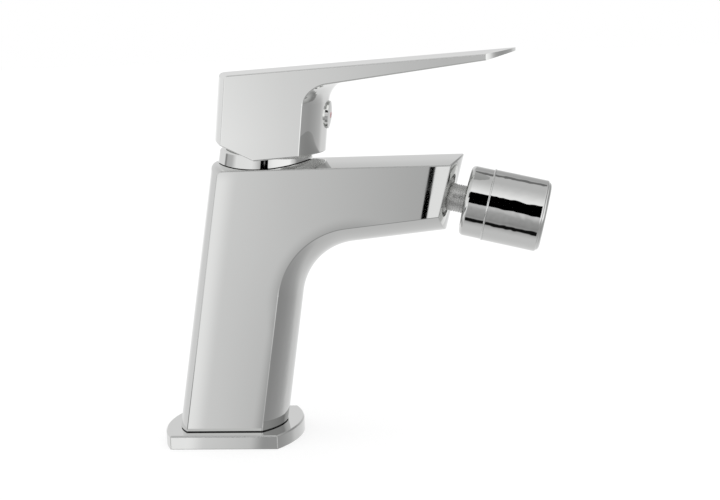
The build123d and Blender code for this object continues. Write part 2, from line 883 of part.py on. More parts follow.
with BuildPart() as handle:
    with BuildSketch(cartridge_plane):
        with BuildLine():
            bowed_outline(
                handle_rear, handle_front, handle_half_width, handle_rear_bow, handle_front_bow
            )
        make_face()
    extrude(amount=block_height)
    # Lever plank, thin at the tip and lifted under its rounded end
    with BuildSketch(Plane.XZ):
        with BuildLine():
            plank_start = cartridge_centre + handle_front
            plank_top = handle_top_height + handle_end * lever_rise + 2 * handle_crown
            Polyline(
                (plank_start, tip_under - (lever_reach - plank_start) * under_rise),
                (lever_reach, tip_under),
                (
                    handle_end,
                    tip_under + (handle_end - lever_reach) * tan(radians(lever_tip_lift)),
                ),
                (handle_end, plank_top),
                (plank_start, plank_top),
                close=True,
            )
        make_face()
    extrude(amount=handle_half_width, both=True)
    with BuildSketch(top_plane):
        with BuildLine():
            Line((-handle_half_width, -handle_top_height), (-handle_half_width, 0))
            ThreePointArc(
                (-handle_half_width, 0), (0, handle_crown), (handle_half_width, 0)
            )
            Polyline(
                (handle_half_width, 0),
                (handle_half_width, -handle_top_height),
                (-handle_half_width, -handle_top_height),
            )
        make_face()
    extrude(amount=2 * handle_end, both=True, mode=Mode.INTERSECT)
    with BuildSketch():
        with BuildLine():
            bowed_outline(-handle_back, lever_reach, handle_half_width, overrun, lever_tip_bow)
        make_face()
    extrude(amount=2 * handle_top_height, mode=Mode.INTERSECT)
    # Sole, cut up towards the heel
    with BuildSketch(Plane.XZ):
        with BuildLine():
            Polyline(
                knee,
                (
                    handle_back,
                    knee[1] + (knee[0] - handle_back) * tan(radians(heel_cut_angle)),
                ),
                (handle_back, 0),
                (handle_end, 0),
                (handle_end, knee[1] + (handle_end - knee[0]) * tan(radians(sole_rise))),
                close=True,
            )
        make_face()
    extrude(amount=2 * handle_half_width, both=True, mode=Mode.SUBTRACT)
    # Fillet between the block's front and the lever, rounded heel, softened creases
    crossing = handle.edges().filter_by(
        lambda e: (e @ 0.5).X > plank_start
        and abs((e @ 0.5).Y) < handle_crease
        and knee[1] + lever_fillet < (e @ 0.5).Z < tip_under - lever_tip_thickness
    )
    fillet(crossing.sort_by(Axis.X)[0], lever_fillet)
    top_heel = handle.edges().filter_by(
        lambda e: (e @ 0.5).X < cartridge_centre and (e @ 0.5).Z > handle_top_height
    )
    fillet(top_heel.filter_by(lambda e: abs((e @ 0.5).Y) < handle_crease), handle_heel_round)
    long_creases = handle.edges().filter_by(
        lambda e: abs(abs((e @ 0.5).Y) - handle_half_width) < handle_crease / 10
        and (e @ 0.5).X < lever_reach - handle_crease
    )
    sole_front = handle.edges().filter_by(
        lambda e: (e @ 0.5).Z < knee[1] + lever_fillet
        and (e @ 0.5).X > cartridge_centre + handle_front
        and abs((e @ 0.5).Y) < handle_crease
    )
    fillet(long_creases + sole_front, handle_crease)
    add(handle_cavity.part, mode=Mode.SUBTRACT)
    # Boss that grips the stem, and boss for the screw
    boss_end = (handle_top_height - handle_roof / 2 - pivot.Z) * tilt_stretch
    with BuildSketch(stem_plane.offset(boss_start)):
        Circle(boss_radius)
    extrude(amount=boss_end - boss_start)
    screw_seat = handle_front + handle_front_bow - index_seat
    with BuildSketch(index_plane.offset(stem_face)):
        Circle(screw_boss_radius)
    extrude(amount=screw_seat - stem_face)
    with BuildSketch(stem_plane.offset(boss_start - overrun)):
        Rectangle(stem_square + 2 * boss_clearance, stem_square + 2 * boss_clearance)
    extrude(amount=stem_length - boss_start + overrun + stem_slot_clearance, mode=Mode.SUBTRACT)
    # Holes for the screw and the index plug
    with BuildSketch(index_plane.offset(stem_face)):
        Circle(screw_radius + screw_thread_clearance)
    extrude(amount=handle_front, mode=Mode.SUBTRACT)
    with BuildSketch(index_plane.offset(screw_seat - index_stem_length - index_clearance)):
        Circle(index_stem_radius + index_clearance)
    extrude(amount=handle_front, mode=Mode.SUBTRACT)
    with BuildSketch(index_plane.offset(screw_seat)):
        Circle(index_radius + index_clearance)
    extrude(amount=handle_front, mode=Mode.SUBTRACT)
export(handle.part, "handle")

# Screw against the stem, with a blunt cone at its tip and a hexagon socket
screw_tip = stem_face + screw_tip_clearance
screw_end = screw_seat - index_stem_length - screw_plug_gap
with BuildPart() as grub_screw:
    turned(
        index_side,
        (0, screw_tip),
        (screw_tip_radius, screw_tip),
        (screw_radius, screw_tip + screw_radius - screw_tip_radius),
        (screw_radius, screw_end),
        (0, screw_end),
    )
    with BuildSketch(index_plane.offset(screw_end)):
        RegularPolygon(screw_hex / 2, side_count=6, major_radius=False)
    extrude(amount=-screw_hex_depth, mode=Mode.SUBTRACT)
export(grub_screw.part, "grub_screw")

# Index plug with a domed face, and its hot and cold marks set into the face
dome_top = screw_seat + index_seat + index_dome
dome_rim = screw_seat + index_seat + index_rim - index_clearance
with BuildSketch(index_side) as plug_section:
    with BuildLine():
        Polyline(
            (0, dome_top),
            (0, screw_seat - index_stem_length),
            (index_stem_radius, screw_seat - index_stem_length),
            (index_stem_radius, screw_seat),
            (index_radius, screw_seat),
            (index_radius, dome_rim),
        )
        TangentArc((0, dome_top), (index_radius, dome_rim), tangent=(1, 0))
    make_face()
mark_places = {"hot_mark": -mark_spacing / 2, "cold_mark": mark_spacing / 2}

with BuildPart() as index_plug:
    revolve(plug_section.sketch, axis=Axis(index_side.origin, index_side.y_dir))
    with BuildSketch(index_plane.offset(dome_top - mark_depth)):
        with Locations(*[(place, 0) for place in mark_places.values()]):
            Circle(mark_radius)
    extrude(amount=mark_depth, mode=Mode.SUBTRACT)
export(index_plug.part, "index_plug")

for mark_name, place in mark_places.items():
    with BuildPart() as mark:
        with BuildSketch(index_plane.offset(dome_top - mark_depth)):
            with Locations((place, 0)):
                Circle(mark_radius)
        extrude(amount=mark_depth)
        revolve(
            plug_section.sketch,
            axis=Axis(index_side.origin, index_side.y_dir),
            mode=Mode.INTERSECT,
        )
    export(mark.part, mark_name)

# Outlet: nipple with a ball head, screwed into the end of the spout
outlet_turn = Axis(outlet_side.origin, outlet_side.y_dir)
ball_join = -sqrt(ball_radius**2 - nipple_radius**2)
seal_height = nipple_shoulder - nipple_seal_back
nipple_seal_radius = nipple_shank_radius + nipple_thread_clearance - nipple_seal_section / 2
with BuildPart() as ball_nipple:
    with BuildSketch(outlet_side) as nipple_section:
        with BuildLine():
            ball_rim = sqrt(ball_radius**2 - ball_end**2)
            Polyline(
                (ball_rim, ball_end),
                (nipple_bore_radius, ball_end),
                (nipple_bore_radius, shank_end),
                (nipple_shank_radius, shank_end),
                (nipple_shank_radius, nipple_shoulder),
                (nipple_radius, nipple_shoulder),
                (nipple_radius, ball_join),
            )
            ThreePointArc((nipple_radius, ball_join), (ball_radius, 0), (ball_rim, ball_end))
        make_face()
    revolve(nipple_section.sketch, axis=outlet_turn)
    # Fine grip rings on the visible neck, and the groove for the seal
    with BuildSketch(outlet_side) as ring_grooves:
        for i in range(nipple_rings):
            with Locations((nipple_radius, nipple_shoulder + (i + 1) * nipple_ring_pitch)):
                Rectangle(2 * nipple_ring_groove, nipple_ring_groove)
        with Locations((nipple_shank_radius, seal_height)):
            Rectangle(2 * nipple_seal_section, nipple_seal_section)
    revolve(ring_grooves.sketch, axis=outlet_turn, mode=Mode.SUBTRACT)
export(ball_nipple.part, "ball_nipple")

with BuildPart() as nipple_seal:
    seal_ring(outlet_side, nipple_seal_radius, seal_height, nipple_seal_section)
export(nipple_seal.part, "nipple_seal")


def on_sphere(radius, angle):
    """Point of a sphere about the ball's centre, angle degrees from the inlet side."""
    return radius * sin(radians(angle)), -radius * cos(radians(angle))


# Plastic seat ring behind the ball, and the cup that seals in front of it
seat_radius = ball_radius + seat_running
with BuildPart() as ball_seat_ring:
    with BuildSketch(outlet_side) as seat_section:
        with BuildLine():
            for radius in (seat_radius, cup_radius):
                ThreePointArc(
                    on_sphere(radius, seat_start_angle),
                    on_sphere(radius, (seat_start_angle + seat_end_angle) / 2),
                    on_sphere(radius, seat_end_angle),
                )
            for angle in (seat_start_angle, seat_end_angle):
                Line(on_sphere(seat_radius, angle), on_sphere(cup_radius, angle))
        make_face()
    revolve(seat_section.sketch, axis=outlet_turn)
export(ball_seat_ring.part, "ball_seat_ring")

socket_bore = cup_radius + cup_running
cup_seal_radius = socket_bore - seal_running - cup_seal_section / 2
with BuildPart() as pressure_cup:
    with BuildSketch(outlet_side) as cup_section:
        with BuildLine():
            low_point = (sqrt(seat_radius**2 - cup_start**2), cup_start)
            high_point = (sqrt(seat_radius**2 - cup_end**2), cup_end)
            middle_point = on_sphere(seat_radius, cup_middle_angle)
            Polyline(low_point, (cup_radius, cup_start), (cup_radius, cup_end), high_point)
            ThreePointArc(low_point, middle_point, high_point)
        make_face()
    revolve(cup_section.sketch, axis=outlet_turn)
    with BuildSketch(outlet_side) as cup_groove:
        with Locations((cup_seal_radius - cup_seal_section / 2, cup_seal_height)):
            Rectangle(2 * cup_seal_section, cup_seal_section, align=(Align.MIN, Align.CENTER))
    revolve(cup_groove.sketch, axis=outlet_turn, mode=Mode.SUBTRACT)
export(pressure_cup.part, "pressure_cup")

with BuildPart() as cup_seal:
    seal_ring(outlet_side, cup_seal_radius, cup_seal_height, cup_seal_section)
export(cup_seal.part, "cup_seal")

# Socket that holds the ball, with the spigot that carries the shell
with BuildPart() as swivel_socket:
    with BuildSketch(outlet_side) as socket_section:
        with BuildLine():
            mouth_depth = sqrt(socket_bore**2 - swivel_opening_radius**2)
            Polyline(
                (socket_bore, 0),
                (socket_bore, swivel_spigot_end),
                (swivel_spigot_radius, swivel_spigot_end),
                (swivel_spigot_radius, swivel_ring_end),
                (swivel_radius, swivel_ring_end),
                (swivel_radius, swivel_edge - swivel_face),
            )
            TangentArc(
                (swivel_radius, swivel_edge - swivel_face),
                (swivel_radius - swivel_edge, -swivel_face),
                tangent=(0, -1),
            )
            Polyline(
                (swivel_radius - swivel_edge, -swivel_face),
                (swivel_opening_radius, -swivel_face),
                (swivel_opening_radius, -mouth_depth),
            )
            TangentArc(
                (socket_bore, 0), (swivel_opening_radius, -mouth_depth), tangent=(0, -1)
            )
        make_face()
    revolve(socket_section.sketch, axis=outlet_turn)
export(swivel_socket.part, "swivel_socket")

# Aerator: shell, gasket, insert with its outlet grid, and the inlet screen
shell_bore = swivel_spigot_radius + shell_thread_clearance
gasket_end = swivel_spigot_end + gasket_thickness
flange_end = gasket_end + insert_flange_thickness
shell_lip_start = shell_end - shell_lip_length
insert_end = shell_lip_start - shell_thread_clearance
grid_start = insert_end - insert_grid_thickness
insert_bore = insert_radius - insert_wall

with BuildPart() as aerator_shell:
    with BuildSketch(outlet_side) as shell_section:
        with BuildLine():
            Polyline(
                (shell_radius - shell_edge, shell_end),
                (shell_lip_radius, shell_end),
                (shell_lip_radius, shell_lip_start),
                (shell_barrel_radius, shell_lip_start),
                (shell_barrel_radius, flange_end),
                (shell_bore, flange_end),
                (shell_bore, shell_start),
                (shell_radius, shell_start),
                (shell_radius, shell_end - shell_edge),
            )
            TangentArc(
                (shell_radius, shell_end - shell_edge),
                (shell_radius - shell_edge, shell_end),
                tangent=(0, 1),
            )
        make_face()
    revolve(shell_section.sketch, axis=outlet_turn)
export(aerator_shell.part, "aerator_shell")

with BuildPart() as aerator_gasket:
    turned(
        outlet_side,
        (gasket_inner_radius, swivel_spigot_end),
        (insert_flange_radius, swivel_spigot_end),
        (insert_flange_radius, gasket_end),
        (gasket_inner_radius, gasket_end),
    )
export(aerator_gasket.part, "aerator_gasket")

with BuildPart() as aerator_insert:
    turned(
        outlet_side,
        (0, grid_start),
        (insert_bore, grid_start),
        (insert_bore, gasket_end + screen_thickness),
        (screen_radius + screen_clearance, gasket_end + screen_thickness),
        (screen_radius + screen_clearance, gasket_end),
        (insert_flange_radius, gasket_end),
        (insert_flange_radius, flange_end),
        (insert_radius, flange_end),
        (insert_radius, insert_end),
        (0, insert_end),
    )
    with BuildSketch(outlet_plane.offset(grid_start)):
        Circle(grid_hole_radius)
        for ring in range(1, grid_rings + 1):
            with PolarLocations(ring * grid_pitch, 6 * ring):
                Circle(grid_hole_radius)
    extrude(amount=insert_grid_thickness, mode=Mode.SUBTRACT)
export(aerator_insert.part, "aerator_insert")

with BuildPart() as inlet_screen:
    dome_radius = screen_radius - screen_rim
    dome_level = gasket_end + screen_dome
    turned(
        outlet_side,
        (screen_radius, gasket_end),
        (dome_radius, gasket_end),
        (dome_radius / 2, dome_level),
        (0, dome_level),
        (0, dome_level + screen_thickness),
        (dome_radius / 2, dome_level + screen_thickness),
        (dome_radius, gasket_end + screen_thickness),
        (screen_radius, gasket_end + screen_thickness),
    )
    with BuildSketch(outlet_plane.offset(gasket_end - overrun)):
        Circle(screen_hole_radius)
        for ring in range(1, screen_rings + 1):
            with PolarLocations(ring * screen_pitch, 6 * ring):
                Circle(screen_hole_radius)
    extrude(amount=screen_dome + 3 * overrun, mode=Mode.SUBTRACT)
export(inlet_screen.part, "inlet_screen")
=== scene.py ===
"""Looks of the bidet mixer: camera, studio, materials and fine pieces, in metres."""

import json
from math import cos, pi, radians, sin

import bpy
from mathutils import Matrix, Vector


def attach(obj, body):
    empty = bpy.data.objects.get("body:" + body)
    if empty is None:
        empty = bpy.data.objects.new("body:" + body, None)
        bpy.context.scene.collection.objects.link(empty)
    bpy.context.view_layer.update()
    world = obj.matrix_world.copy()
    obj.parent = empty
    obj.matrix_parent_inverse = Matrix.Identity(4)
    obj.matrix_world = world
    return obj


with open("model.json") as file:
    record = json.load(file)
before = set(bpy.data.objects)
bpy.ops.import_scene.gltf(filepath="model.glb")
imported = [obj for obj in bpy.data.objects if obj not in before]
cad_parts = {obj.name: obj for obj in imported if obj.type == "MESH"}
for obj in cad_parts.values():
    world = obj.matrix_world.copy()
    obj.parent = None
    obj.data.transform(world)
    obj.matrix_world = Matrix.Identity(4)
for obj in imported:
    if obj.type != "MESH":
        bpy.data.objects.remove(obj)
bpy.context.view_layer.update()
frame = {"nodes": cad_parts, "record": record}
nodes = frame["nodes"]

# Camera, solved from the photograph's edges
MM = 0.001
CAMERA_PLACE = Vector((136.06, -637.87, 164.56)) * MM
CAMERA_YAW = radians(7.42)
CAMERA_PITCH = radians(8.04)
CAMERA_ROLL = radians(-2.20)
FOCAL_PIXELS = 1650.6
IMAGE_WIDTH = 720
SENSOR_WIDTH = 36.0
CLIP_START = 0.01
CLIP_END = 20

# Studio that the plated faces mirror: rows of brightness by elevation, each with its
# brightness by azimuth from the front (-Y) towards +X, in degrees
STUDIO_ROWS = (
    (-76, ((-180, 0.56), (180, 0.56))),
    (-60, ((-180, 0.6), (-60, 0.52), (-30, 0.4), (95, 0.36), (125, 0.43), (145, 0.55), (180, 0.6))),
    (-40, ((-180, 0.66), (-60, 0.6), (-20, 0.3), (-11, 0.25), (80, 0.3), (115, 0.35), (130, 0.42),
           (145, 0.58), (180, 0.66))),
    (-22, ((-180, 0.78), (-140, 0.75), (-40, 0.8), (-18, 0.6), (-10, 0.36), (-5, 0.31), (20, 0.45),
           (80, 0.35), (100, 0.29), (115, 0.33), (130, 0.4), (140, 0.5), (150, 0.66), (180, 0.78))),
    (-14, ((-180, 0.8), (-111, 0.8), (-107, 0.2), (-102, 0.15), (-34, 0.15), (-18, 0.9), (-14.5, 0.8),
           (-13, 0.72), (-12, 0.66), (-11, 0.58), (-8, 0.42), (-4, 0.36), (15, 0.9),
           (70, 0.9), (84, 0.4), (95, 0.31), (110, 0.3), (125, 0.37), (137, 0.46), (145, 0.62),
           (180, 0.8))),
    (-8, ((-180, 0.95), (-165, 1.0), (-150, 0.8), (-140, 0.73), (-111, 0.72), (-107, 0.2),
          (-102, 0.15), (-34, 0.15), (-18, 0.9), (-14, 0.85), (-12.5, 0.74), (-11, 0.69),
          (-10, 0.65), (-8, 0.58), (-6, 0.5), (-4.5, 0.44), (15, 0.95), (70, 0.95), (84, 0.4),
          (95, 0.32), (105, 0.29), (120, 0.34), (135, 0.43), (146, 0.62), (165, 0.66), (180, 0.95))),
    (-4, ((-180, 1.0), (-165, 1.05), (-155, 1.0), (-146, 0.76), (-138, 0.72), (-111, 0.72),
          (-107, 0.2), (-102, 0.2), (-98, 0.6), (-60, 0.84), (-15, 0.9), (-13, 0.83), (-12, 0.78),
          (-10, 0.66), (-8, 0.6), (-6, 0.52), (-4, 0.47), (15, 0.95), (70, 0.95), (84, 0.4),
          (95, 0.31), (105, 0.29), (120, 0.34), (135, 0.43), (146, 0.62), (165, 0.66), (180, 1.0))),
    (3, ((-180, 0.67), (-160, 0.72), (-150, 0.73), (-110, 0.72), (-106, 0.18), (-102, 0.18),
         (-98, 0.38), (-80, 0.42), (-66, 0.8), (-24, 0.82), (-16, 0.72), (-8, 0.56), (-3, 0.44), (20, 0.7),
         (28, 0.83), (75, 0.83), (90, 0.34), (105, 0.3), (140, 0.3), (152, 0.55), (180, 0.67))),
    (20, ((-180, 0.72), (-160, 0.72), (-20, 0.76), (20, 0.82), (75, 0.8), (90, 0.24), (150, 0.24),
          (162, 0.42), (176, 0.45), (180, 0.72))),
    (42, ((-180, 0.6), (-20, 0.7), (8, 0.86), (20, 0.85), (100, 0.7), (155, 0.42), (180, 0.36))),
    (60, ((-180, 0.5), (-20, 0.6), (20, 0.66), (100, 0.55), (180, 0.48))),
    (78, ((-180, 0.5), (180, 0.5))),
)
# Dark and bright strips of the studio: azimuths and elevations of the two sides, the slant in
# degrees of azimuth per degree of elevation, the width of the soft edge, and the brightness
STUDIO_STRIPS = (
    (-25.0, 17.0, 19.0, 35.5, 0.0, 1.0, 0.04),
    (-2.6, 17.0, 0.8, 35.5, 0.0, 0.5, 0.0),
    (8.0, 15.5, -4.0, 3.5, 0.0, 0.5, 0.0),
    (-20.0, -11.85, -20.0, -5.2, 0.178, 0.35, 0.95),
    (-9.45, -4.0, -24.0, -10.2, 0.204, 0.3, 0.34),
    (-34.0, -10.0, -59.0, -47.5, 0.0, 2.0, 0.005),
    (154.0, 164.0, 50.0, 66.0, 0.0, 2.0, 0.15),
    (-4.66, -4.0, -8.0, -4.4, 0.21, 0.03, 0.92),
    (-4.87, -4.67, -8.0, -4.4, 0.21, 0.02, 0.0),
)
STRIP_PIVOT = -5.2
# Soft dark spot that the flat side mirrors along the spout's inner curve: azimuth, elevation,
# radius, the width of the soft edge, and the brightness
STUDIO_SPOT = (-7.61, -10.09, 2.85, 0.4, 0.34)
EVEN_LIGHT = 0.95

# Floor: its own glow makes it white, its diffuse share keeps the shadow
FLOOR_SIZE = 6.0
FLOOR_COLOUR = (0.4, 0.4, 0.4, 1)
FLOOR_GLOW = 0.68

WHITE = (1, 1, 1, 1)

# Textures: the part of a noise's range in use, the wipe marks, the detail of each kind, and the
# height in metres and the strength of each bump
NOISE_SPAN = (0.3, 0.7)
SMUDGE_SCALE = 90.0
SMUDGE_DETAIL = 3.0
WAVE_DETAIL = 1.0
WAVE_STRENGTH = 1.0
METAL_DETAIL = 4.0
METAL_BUMP = (0.00002, 0.4)
PLASTIC_DETAIL = 3.0
PLASTIC_BUMP = (0.00003, 0.3)

# Plating's tint, and the plate's softened edge
CHROME_TINT = (0.995, 1.0, 0.99)
PLATE_BEVEL = 0.45 * MM

# Plated slots and nodes: brightness, least and most roughness, and for the wavy ones the scale
# of the waves and their height in metres. The brightness changes from part to part on the one
# plating, which paints lighter and darker tones: lightest on the handle, darkest on the body.
PLATED_SLOTS = {
    "chrome_body": (0.78, 0.006, 0.018),
    "chrome_cover": (0.9, 0.015, 0.03),
    "chrome_outlet": (0.88, 0.01, 0.03, 330.0, 0.00003),
    "plug_plastic": (0.9, 0.02, 0.04),
}
# Painted light: the handle's plating is brighter than the other parts', so the handle shows lighter
HANDLE_PLATING = (0.97, 0.006, 0.018)
SHELL_PLATING = (0.88, 0.01, 0.03, 260.0, 0.00009)
PLATE_PLATING = (0.8, 0.006, 0.018)

# Machined metals: colour, least and most roughness, and the grain's scale
METAL_SLOTS = {
    "brass": ((0.76, 0.6, 0.32, 1), 0.2, 0.35, 400.0),
    "steel": ((0.6, 0.6, 0.61, 1), 0.25, 0.4, 500.0),
}
NIPPLE_METAL = ((0.78, 0.78, 0.77, 1), 0.36, 0.46, 600.0)

# Plastics, rubber and ceramic: colour, least and most roughness, the grain's scale, and the
# glossy coat's weight where there is one
PLASTIC_SLOTS = {
    "seal_rubber": ((0.02, 0.02, 0.022, 1), 0.5, 0.7, 900.0),
    "cartridge_plastic": ((0.75, 0.76, 0.77, 1), 0.35, 0.5, 700.0),
    "ceramic_disc": ((0.88, 0.87, 0.84, 1), 0.1, 0.2, 500.0, 0.5),
    "joint_plastic": ((0.82, 0.82, 0.8, 1), 0.3, 0.45, 700.0),
    "insert_plastic": ((0.66, 0.68, 0.7, 1), 0.3, 0.45, 700.0),
    "red_mark": ((0.55, 0.012, 0.02, 1), 0.12, 0.2, 700.0, 0.6),
    "blue_mark": ((0.012, 0.08, 0.45, 1), 0.12, 0.2, 700.0, 0.6),
}

# Handle's raw inside: the places of its walls and roof, how far the end walls bow, its
# roughness, and a faint glow of painted light, since the studio lights the hollow too little
HOLLOW_HALF_WIDTH = 19.4 * MM
HOLLOW_REAR = 3.0 * MM
HOLLOW_REAR_BOW = 5.5 * MM
HOLLOW_FRONT = 40.2 * MM
HOLLOW_FRONT_BOW = 7.4 * MM
HOLLOW_ROOF = 141.6 * MM
RAW_ROUGHNESS = 0.6
HOLLOW_PAINTED_LIGHT = 0.09

# Outlet's axis, and the shell's rounded lip and the thin ring at its joint, as radii and
# distances from the ball's centre
OUTLET_CENTRE = Vector((102.8, 0, 90.75)) * MM
OUTLET_TILT = radians(13.6)
LIP_PROFILE = (
    (13.3, 22.0), (13.35, 22.5), (13.1, 23.0), (12.6, 23.4), (11.9, 23.65), (11.1, 23.7),
    (10.6, 23.45), (10.5, 23.0), (10.5, 22.0),
)
RING_PROFILE = (
    (13.5, 0.85), (13.95, 0.9), (14.1, 1.05), (14.12, 1.25), (14.1, 1.45), (13.95, 1.58),
    (13.5, 1.58),
)
RING_SIDES = 96
OUTLET_BODY = "head"


def add_camera():
    """Camera at the photograph's viewing angle, with no shift and no depth of field."""
    forward = Vector(
        (
            -sin(CAMERA_YAW) * cos(CAMERA_PITCH),
            cos(CAMERA_YAW) * cos(CAMERA_PITCH),
            -sin(CAMERA_PITCH),
        )
    )
    right = Vector((cos(CAMERA_YAW), sin(CAMERA_YAW), 0))
    up = right.cross(forward)
    rolled_right = right * cos(CAMERA_ROLL) + up * sin(CAMERA_ROLL)
    rolled_up = up * cos(CAMERA_ROLL) - right * sin(CAMERA_ROLL)
    data = bpy.data.cameras.new("camera")
    data.sensor_width = SENSOR_WIDTH
    data.lens = FOCAL_PIXELS * SENSOR_WIDTH / IMAGE_WIDTH
    data.clip_start = CLIP_START
    data.clip_end = CLIP_END
    camera = bpy.data.objects.new("camera", data)
    axes = Matrix((rolled_right, rolled_up, -forward)).transposed()
    camera.matrix_world = Matrix.Translation(CAMERA_PLACE) @ axes.to_4x4()
    bpy.context.scene.collection.objects.link(camera)
    bpy.context.scene.camera = camera


def new_material(name):
    """Material with its node tree and its principled shader."""
    material = bpy.data.materials.new(name)
    material.use_nodes = True
    return material, material.node_tree, material.node_tree.nodes["Principled BSDF"]


def noise(tree, scale, detail):
    """Noise texture on object coordinates, so that it stays on the surface."""
    place = tree.nodes.new("ShaderNodeTexCoord")
    texture = tree.nodes.new("ShaderNodeTexNoise")
    texture.inputs["Scale"].default_value = scale
    texture.inputs["Detail"].default_value = detail
    tree.links.new(place.outputs["Object"], texture.inputs["Vector"])
    return texture


def spread(tree, texture, low, high):
    """Maps a texture's value to the range from low to high."""
    ramp = tree.nodes.new("ShaderNodeMapRange")
    ramp.inputs["From Min"].default_value = NOISE_SPAN[0]
    ramp.inputs["From Max"].default_value = NOISE_SPAN[1]
    ramp.inputs["To Min"].default_value = low
    ramp.inputs["To Max"].default_value = high
    tree.links.new(texture.outputs["Fac"], ramp.inputs["Value"])
    return ramp.outputs["Result"]


def add_bump(tree, shader, texture, distance, strength):
    """Bump from a texture, with its height in metres."""
    bump = tree.nodes.new("ShaderNodeBump")
    bump.inputs["Distance"].default_value = distance
    bump.inputs["Strength"].default_value = strength
    tree.links.new(texture.outputs["Fac"], bump.inputs["Height"])
    tree.links.new(bump.outputs["Normal"], shader.inputs["Normal"])


def inside_share(tree):
    """1 within the handle's bowed walls and under its roof, 0 outside them."""
    split = tree.nodes.new("ShaderNodeSeparateXYZ")
    tree.links.new(tree.nodes.new("ShaderNodeTexCoord").outputs["Object"], split.inputs["Vector"])
    x, y, z = split.outputs
    side = maths(tree, "ABSOLUTE", y)
    bow = maths(tree, "POWER", maths(tree, "DIVIDE", side, HOLLOW_HALF_WIDTH), 2.0)
    rear = maths(tree, "MULTIPLY_ADD", bow, HOLLOW_REAR_BOW, HOLLOW_REAR)
    front = maths(tree, "MULTIPLY_ADD", bow, -HOLLOW_FRONT_BOW, HOLLOW_FRONT)
    share = maths(tree, "LESS_THAN", side, HOLLOW_HALF_WIDTH)
    share = maths(tree, "MULTIPLY", share, maths(tree, "LESS_THAN", z, HOLLOW_ROOF))
    share = maths(tree, "MULTIPLY", share, maths(tree, "GREATER_THAN", x, rear))
    return maths(tree, "MULTIPLY", share, maths(tree, "LESS_THAN", x, front))


def chrome(name, brightness, low, high, wave_scale=0.0, wave_height=0.0, hollow=False, bevel=0.0):
    """Plated metal: near-mirror, with faint wipe marks, and slow waves where they are asked for."""
    material, tree, shader = new_material(name)
    tint = [brightness * part for part in CHROME_TINT]
    shader.inputs["Base Color"].default_value = (*tint, 1)
    shader.inputs["Metallic"].default_value = 1.0
    smudge = noise(tree, SMUDGE_SCALE, SMUDGE_DETAIL)
    roughness = spread(tree, smudge, low, high)
    if hollow:
        inside = inside_share(tree)
        roughness = blend_values(tree, inside, roughness, RAW_ROUGHNESS)
        # painted light: the hollow glows faintly to stand in for light the studio doesn't bring into it
        tree.links.new(maths(tree, "MULTIPLY", inside, HOLLOW_PAINTED_LIGHT), shader.inputs["Emission Strength"])
        shader.inputs["Emission Color"].default_value = WHITE
    tree.links.new(roughness, shader.inputs["Roughness"])
    if bevel:
        soft = tree.nodes.new("ShaderNodeBevel")
        soft.inputs["Radius"].default_value = bevel
        tree.links.new(soft.outputs["Normal"], shader.inputs["Normal"])
    if wave_height:
        wave = noise(tree, wave_scale, WAVE_DETAIL)
        add_bump(tree, shader, wave, wave_height, WAVE_STRENGTH)
    return material


def metal(name, colour, low, high, grain):
    """Machined metal with a fine grain that varies its roughness."""
    material, tree, shader = new_material(name)
    shader.inputs["Base Color"].default_value = colour
    shader.inputs["Metallic"].default_value = 1.0
    marks = noise(tree, grain, METAL_DETAIL)
    tree.links.new(spread(tree, marks, low, high), shader.inputs["Roughness"])
    add_bump(tree, shader, marks, *METAL_BUMP)
    return material


def plastic(name, colour, low, high, grain, coat=0.0):
    """Moulded plastic, rubber or ceramic with a fine moulded texture."""
    material, tree, shader = new_material(name)
    shader.inputs["Base Color"].default_value = colour
    shader.inputs["Coat Weight"].default_value = coat
    texture = noise(tree, grain, PLASTIC_DETAIL)
    tree.links.new(spread(tree, texture, low, high), shader.inputs["Roughness"])
    add_bump(tree, shader, texture, *PLASTIC_BUMP)
    return material


def make_materials():
    """One material for each slot of the record."""
    materials = {slot: chrome(slot, *sizes) for slot, sizes in PLATED_SLOTS.items()}
    materials["chrome_handle"] = chrome("chrome_handle", *HANDLE_PLATING, hollow=True)
    materials.update({slot: metal(slot, *sizes) for slot, sizes in METAL_SLOTS.items()})
    materials.update({slot: plastic(slot, *sizes) for slot, sizes in PLASTIC_SLOTS.items()})
    return materials


def dress_nodes():
    """Gives each CAD node its slot's material, and nipple, shell and plate one of their own."""
    materials = make_materials()
    for part in frame["record"]["subparts"]:
        node = nodes[part["node"]]
        node.data.materials.clear()
        node.data.materials.append(materials[part["material_slot"]])
    own_materials = {
        "ball_nipple": metal("chrome_nipple", *NIPPLE_METAL),
        "aerator_shell": chrome("chrome_shell", *SHELL_PLATING),
        "base_plate": chrome("chrome_plate", *PLATE_PLATING, bevel=PLATE_BEVEL),
    }
    for name, material in own_materials.items():
        nodes[name].data.materials[0] = material


def add_outlet_ring(name, profile):
    """Ring of the profile around the outlet's axis, on the outlet's body."""
    along = Vector((cos(OUTLET_TILT), 0, -sin(OUTLET_TILT)))
    across = Vector((sin(OUTLET_TILT), 0, cos(OUTLET_TILT)))
    side = Vector((0, 1, 0))
    points, faces = [], []
    count = len(profile)
    for i in range(RING_SIDES):
        turn = 2 * pi * i / RING_SIDES
        out = across * cos(turn) + side * sin(turn)
        points += [OUTLET_CENTRE + (out * r + along * s) * MM for r, s in profile]
        ahead = (i + 1) % RING_SIDES
        faces += [
            (i * count + j, i * count + k, ahead * count + k, ahead * count + j)
            for j, k in zip(range(count), list(range(1, count)) + [0])
        ]
    mesh = bpy.data.meshes.new(name)
    mesh.from_pydata(points, [], faces)
    mesh.polygons.foreach_set("use_smooth", [True] * len(mesh.polygons))
    mesh.materials.append(nodes["aerator_shell"].data.materials[0])
    ring = bpy.data.objects.new(name, mesh)
    bpy.context.scene.collection.objects.link(ring)
    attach(ring, OUTLET_BODY)


